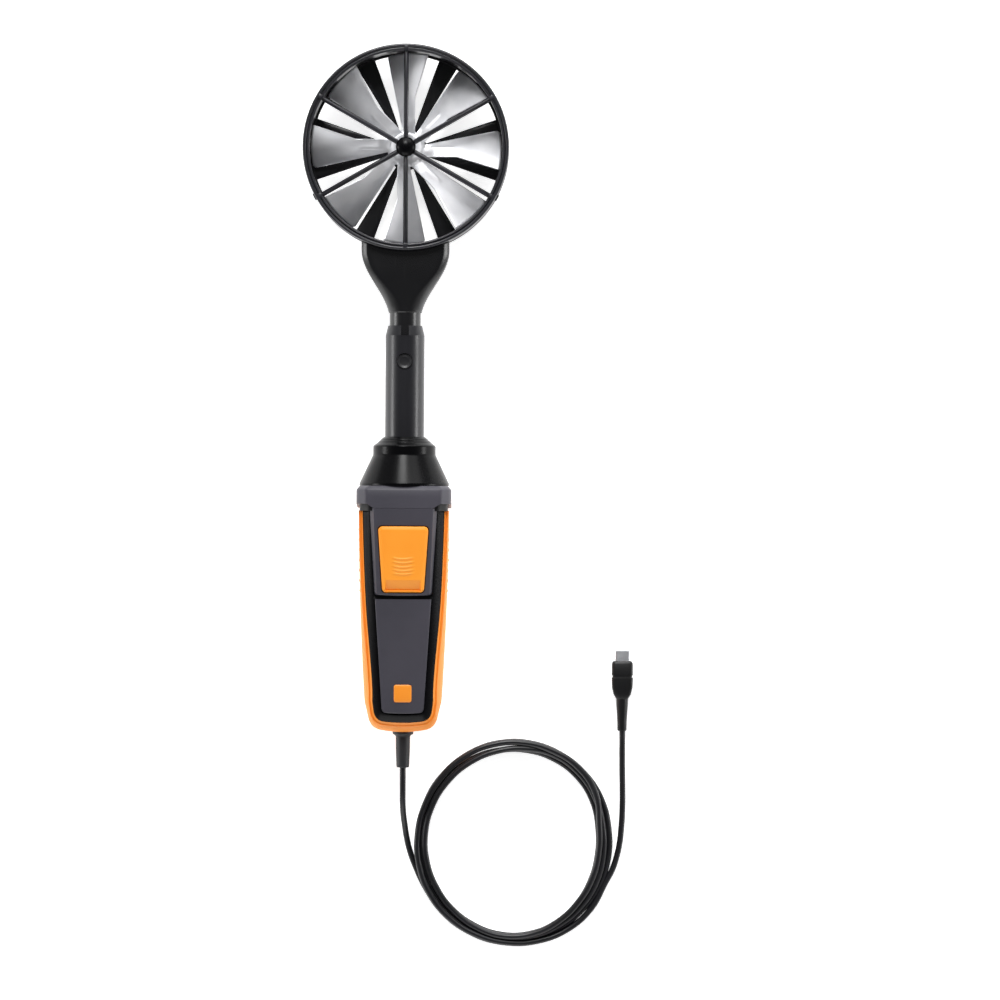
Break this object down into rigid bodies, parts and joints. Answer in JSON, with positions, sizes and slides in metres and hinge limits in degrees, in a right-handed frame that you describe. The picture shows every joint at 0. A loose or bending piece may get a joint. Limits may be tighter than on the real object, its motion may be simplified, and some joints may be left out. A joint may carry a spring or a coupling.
{
  "type": "vane anemometer",
  "caption": "Handheld vane anemometer probe: a shrouded vane head on a latched adapter tube, a soft grip with a measuring button, and a coiled cable with a small plug.",
  "frame": {"origin": "centre of the bottom of the box of the probe without its free cable: midway along the instrument, on the flat back of the grip", "axes": "+Z is the air axis and points out of the front guard; +Y runs along the grip towards the vane head; +X is to the right seen from the front"},
  "size_m": [0.1699, 0.4585, 0.046],
  "materials": {
    "shroud_black": "satin moulded, fine grain",
    "guard_black": "satin moulded",
    "gloss_black": "polished black",
    "brass": "turned",
    "blade_foil": "bright rolled sheet",
    "hub_metal": "turned",
    "steel": "plated",
    "spring_steel": "drawn wire",
    "sensor_can": "plated can",
    "neck_plastic": "satin moulded, fine grain",
    "board_green": "solder mask",
    "chip_black": "moulded",
    "inner_plastic": "moulded",
    "latch_plastic": "satin",
    "tube_black": "satin",
    "seal_rubber": "plain",
    "gold_pins": "plated",
    "orange_soft": "soft matt",
    "panel_grey": "grained",
    "badge_orange": "smooth",
    "button_orange": "soft matt",
    "relief_rubber": "matt",
    "cable_jacket": "smooth satin",
    "plug_plastic": "satin",
    "plug_metal": "plated"
  },
  "bodies": {
    "probe": {"shroud_ring": "shroud_black", "front_guard": "shroud_black", "guard_cap": "gloss_black", "front_bearing": "brass", "rear_guard": "guard_black", "rear_bearing": "brass", "speed_pickup": "sensor_can", "neck_front": "neck_plastic", "neck_rear": "neck_plastic", "neck_screws": "steel", "stem": "neck_plastic", "head_board": "board_green", "head_socket": "inner_plastic", "latch_spring": "spring_steel", "adapter_tube": "tube_black", "tube_seal": "seal_rubber", "contact_block": "inner_plastic", "contact_pins": "gold_pins", "adapter_cone": "gloss_black", "collar": "panel_grey", "rear_shell": "inner_plastic", "front_shell": "gloss_black", "soft_cover": "orange_soft", "front_panel": "panel_grey", "badge": "badge_orange", "button_spring": "spring_steel", "tact_switch": "inner_plastic", "circuit_board": "board_green", "board_parts": "chip_black", "board_screws": "steel", "housing_screws": "steel", "strain_relief": "relief_rubber", "cable_clamp": "inner_plastic", "cable_lead": "cable_jacket", "cable_coil": "cable_jacket", "cable_tail": "cable_jacket", "plug_boot": "relief_rubber", "plug_body": "plug_plastic", "plug_shell": "plug_metal", "plug_insert": "inner_plastic"},
    "impeller": {"impeller_blades": "blade_foil", "impeller_hub": "hub_metal", "axle": "steel"},
    "measure_button": {"measure_button": "button_orange"},
    "latch_button": {"latch_button": "latch_plastic"}
  },
  "joints": [
    {"name": "impeller_spin", "type": "hinge", "parent": "probe", "child": "impeller", "pos_m": [0, 0.1318, 0.023], "axis": [0, 0, 1], "continuous": true},
    {"name": "button_press", "type": "slide", "parent": "probe", "child": "measure_button", "axis": [0, 0, -1], "range_m": [0, 0.0012], "stiffness_N_per_m": 1200, "springref_m": -0.0005, "deforming": ["button_spring"]},
    {"name": "latch_press", "type": "slide", "parent": "probe", "child": "latch_button", "axis": [0, 0, -1], "range_m": [0, 0.0022], "stiffness_N_per_m": 800, "springref_m": -0.001, "deforming": ["latch_spring"]}
  ]
}
